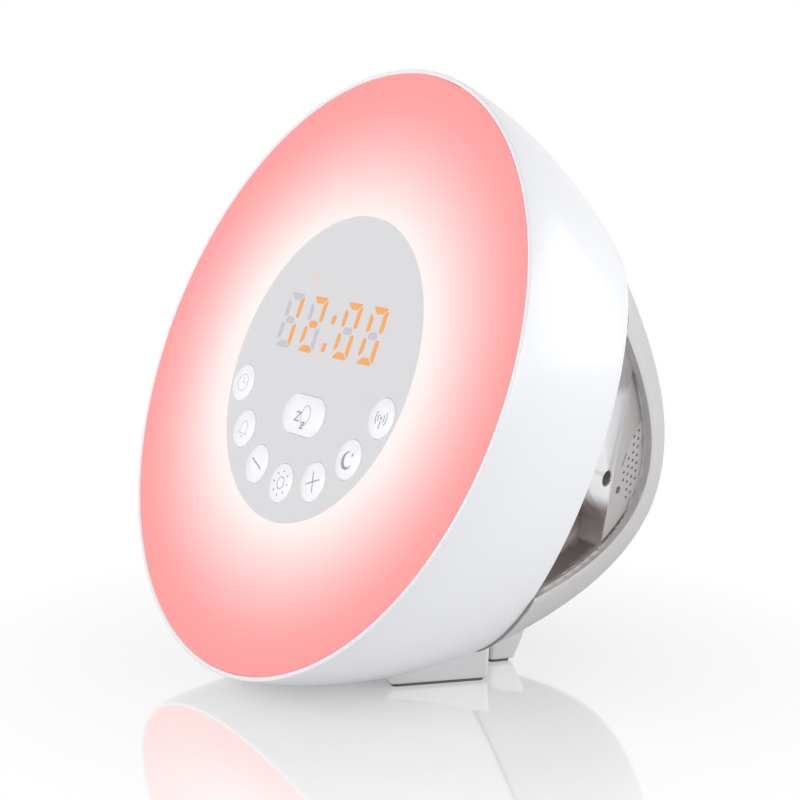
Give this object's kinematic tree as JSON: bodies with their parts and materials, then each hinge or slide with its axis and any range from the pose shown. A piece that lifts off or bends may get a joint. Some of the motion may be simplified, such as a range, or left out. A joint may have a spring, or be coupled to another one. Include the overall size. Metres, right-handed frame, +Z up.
{
  "type": "sunrise alarm clock",
  "caption": "Round bedside alarm clock: a dished glowing face around a digital display with push keys, leaning back on short feet, with side grilles and a power socket.",
  "frame": {"origin": "centre of the footprint of the whole clock, on the floor it stands on", "axes": "+Z up, the face looks towards -Y and leans back, +X is to the right seen from the front"},
  "size_m": [0.1726, 0.1256, 0.1665],
  "materials": {
    "shell_white": "satin moulded plastic",
    "shell_grey": "satin moulded plastic",
    "glow_face": "opal plastic, lit from behind",
    "panel_grey": "satin tinted window",
    "key_white": "satin moulded plastic",
    "grille_grey": "satin moulded plastic",
    "foot_grey": "satin moulded plastic",
    "pad_rubber": "matt",
    "reflector_white": "matt white moulded plastic",
    "circuit_board": "lacquered board",
    "lamp_lens": "small moulded lenses",
    "digit_grey": "moulded digit block",
    "dark_plastic": "moulded plastic",
    "steel": "zinc plated",
    "contact_metal": "nickel plated",
    "speaker_metal": "dark plated",
    "speaker_paper": "paper",
    "cell_sleeve": "plain sleeve"
  },
  "bodies": {
    "casing": {"board_screws": "steel", "casing_screws": "steel", "cell_contacts": "contact_metal", "cell_springs": "contact_metal", "cell_tray": "dark_plastic", "cells": "cell_sleeve", "chips": "dark_plastic", "diffuser": "glow_face", "digit_block": "digit_grey", "display_panel": "panel_grey", "face_board": "circuit_board", "front_foot_left": "foot_grey", "front_foot_right": "foot_grey", "front_pad_left": "pad_rubber", "front_pad_right": "pad_rubber", "front_shell": "shell_white", "key_switches": "dark_plastic", "lamps": "lamp_lens", "light_board": "circuit_board", "main_board": "circuit_board", "power_board": "circuit_board", "power_socket": "dark_plastic", "rear_foot_left": "foot_grey", "rear_foot_right": "foot_grey", "rear_pad_left": "pad_rubber", "rear_pad_right": "pad_rubber", "rear_shell": "shell_grey", "reflector": "reflector_white", "reset_switch": "dark_plastic", "side_grille_left": "grille_grey", "side_grille_right": "grille_grey", "socket_pin": "contact_metal", "speaker_cone": "speaker_paper", "speaker_frame": "speaker_metal", "speaker_magnet": "speaker_metal"},
    "back_door": {"back_door": "shell_grey"},
    "reset_button": {"reset_button": "key_white"},
    "key_alarm": {"key_alarm": "key_white", "plunger_alarm": "dark_plastic"},
    "key_clock": {"key_clock": "key_white", "plunger_clock": "dark_plastic"},
    "key_minus": {"key_minus": "key_white", "plunger_minus": "dark_plastic"},
    "key_moon": {"key_moon": "key_white", "plunger_moon": "dark_plastic"},
    "key_plus": {"key_plus": "key_white", "plunger_plus": "dark_plastic"},
    "key_radio": {"key_radio": "key_white", "plunger_radio": "dark_plastic"},
    "key_snooze": {"key_snooze": "key_white", "plunger_snooze": "dark_plastic"},
    "key_sunrise": {"key_sunrise": "key_white", "plunger_sunrise": "dark_plastic"}
  },
  "joints": [
    {"name": "key_alarm_press", "type": "slide", "parent": "casing", "child": "key_alarm", "axis": [0, 0.9295, -0.3689], "range_m": [0, 0.0005], "stiffness_N_per_m": 2000},
    {"name": "key_clock_press", "type": "slide", "parent": "casing", "child": "key_clock", "axis": [0, 0.9295, -0.3689], "range_m": [0, 0.0005], "stiffness_N_per_m": 2000},
    {"name": "key_minus_press", "type": "slide", "parent": "casing", "child": "key_minus", "axis": [0, 0.9295, -0.3689], "range_m": [0, 0.0005], "stiffness_N_per_m": 2000},
    {"name": "key_moon_press", "type": "slide", "parent": "casing", "child": "key_moon", "axis": [0, 0.9295, -0.3689], "range_m": [0, 0.0005], "stiffness_N_per_m": 2000},
    {"name": "key_plus_press", "type": "slide", "parent": "casing", "child": "key_plus", "axis": [0, 0.9295, -0.3689], "range_m": [0, 0.0005], "stiffness_N_per_m": 2000},
    {"name": "key_radio_press", "type": "slide", "parent": "casing", "child": "key_radio", "axis": [0, 0.9295, -0.3689], "range_m": [0, 0.0005], "stiffness_N_per_m": 2000},
    {"name": "key_snooze_press", "type": "slide", "parent": "casing", "child": "key_snooze", "axis": [0, 0.9295, -0.3689], "range_m": [0, 0.0005], "stiffness_N_per_m": 2000},
    {"name": "key_sunrise_press", "type": "slide", "parent": "casing", "child": "key_sunrise", "axis": [0, 0.9295, -0.3689], "range_m": [0, 0.0005], "stiffness_N_per_m": 2000},
    {"name": "reset_press", "type": "slide", "parent": "casing", "child": "reset_button", "axis": [-0.9426, -0.2906, 0.1647], "range_m": [0, 0.0005], "stiffness_N_per_m": 1500},
    {"name": "back_door_hinge", "type": "hinge", "parent": "casing", "child": "back_door", "pos_m": [0, 0.06183, 0.0405], "axis": [-1, 0, 0], "range_deg": [0, 95]}
  ]
}
